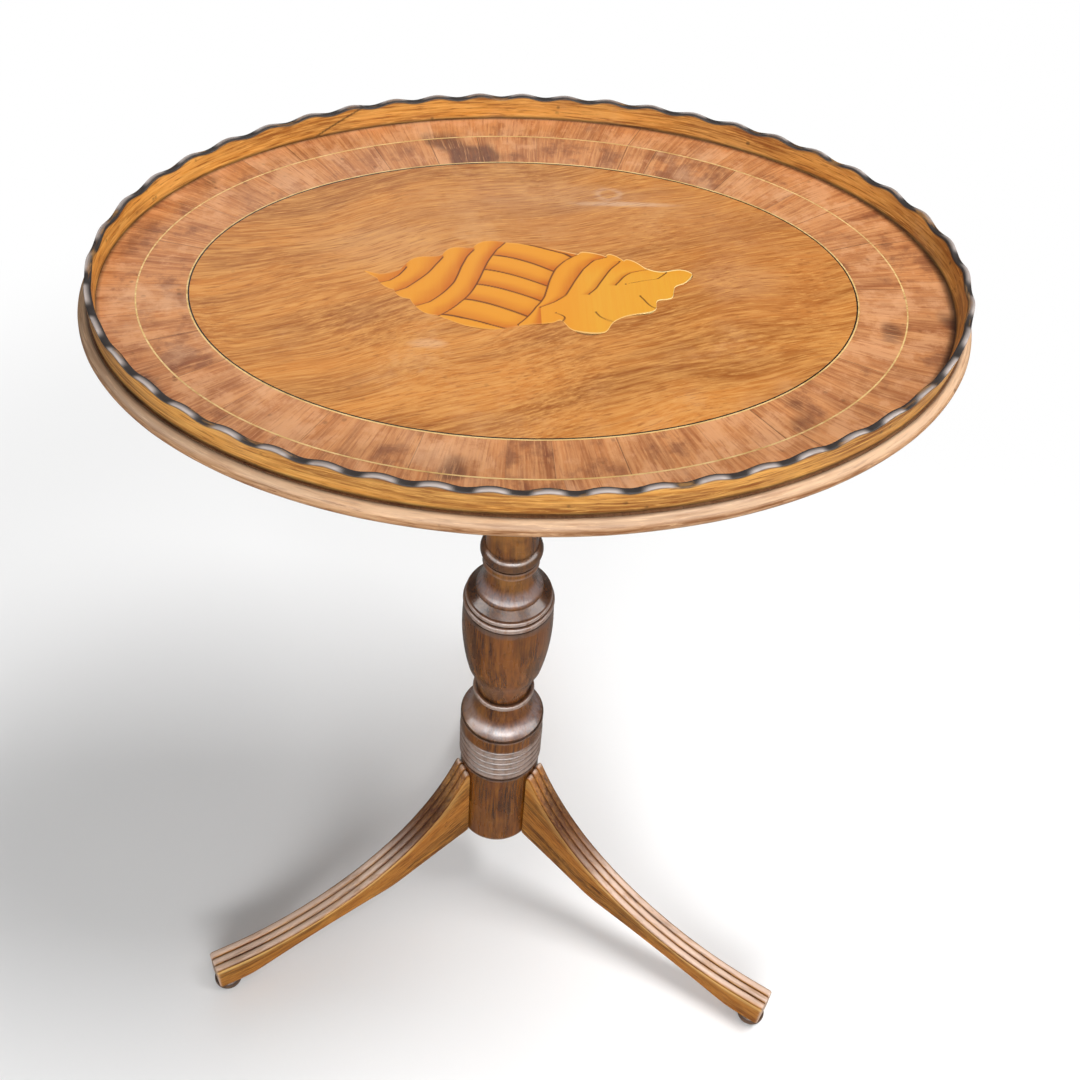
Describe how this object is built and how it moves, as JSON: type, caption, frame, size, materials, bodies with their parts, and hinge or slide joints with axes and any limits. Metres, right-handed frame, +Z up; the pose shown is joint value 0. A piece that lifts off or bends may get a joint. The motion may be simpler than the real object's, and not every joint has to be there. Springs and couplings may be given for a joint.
{
  "type": "tea table",
  "caption": "Oval tray top tea table with a wavy gallery and an inlaid shell, on a turned column with reeded sabre legs; the top tilts upright.",
  "frame": {"origin": "on the floor, on the axis of the turned column", "axes": "+Z up, X along the oval top's long axis, -Y towards the front, where the closed top's hinge edge is"},
  "size_m": [0.543, 0.4746, 0.7292],
  "materials": {
    "column_mahogany": "dark polished",
    "leg_mahogany": "worn polish",
    "plain_mahogany": "dry, unpolished",
    "pin_oak": "dry",
    "foot_wood": "dark, worn",
    "bead_wood": "worn polish",
    "gallery_wood": "polished",
    "field_veneer": "satin polish",
    "ebony": "polished",
    "boxwood": "polished",
    "crossband": "satin polish",
    "shell_veneer": "polished, sand-shaded",
    "brass": "aged",
    "steel": "aged"
  },
  "bodies": {
    "base": {"column": "column_mahogany", "tenon_wedge": "column_mahogany", "tilt_block": "plain_mahogany", "pivot_pin_left": "pin_oak", "pivot_pin_right": "pin_oak", "keeper_plate": "brass", "keeper_screws": "steel", "leg_left": "leg_mahogany", "leg_right": "leg_mahogany", "leg_back": "leg_mahogany", "foot_left": "foot_wood", "foot_right": "foot_wood", "foot_back": "foot_wood"},
    "top": {"top_board": "plain_mahogany", "edge_bead": "bead_wood", "gallery": "gallery_wood", "field_veneer": "field_veneer", "inner_string_ebony": "ebony", "inner_string_box": "boxwood", "inner_crossband": "crossband", "outer_string": "boxwood", "outer_crossband": "crossband", "shell_inlay": "shell_veneer", "bearer_left": "plain_mahogany", "bearer_right": "plain_mahogany", "bearer_screws": "steel", "catch_plate": "brass", "catch_screws": "steel"},
    "bolt": {"catch_bolt": "brass"}
  },
  "joints": [
    {"name": "top_tilt", "type": "hinge", "parent": "base", "child": "top", "pos_m": [0, -0.058, 0.682], "axis": [1, 0, 0], "range_deg": [0, 88]},
    {"name": "catch_slide", "type": "slide", "parent": "top", "child": "bolt", "axis": [0, -1, 0], "range_m": [0, 0.009]}
  ]
}
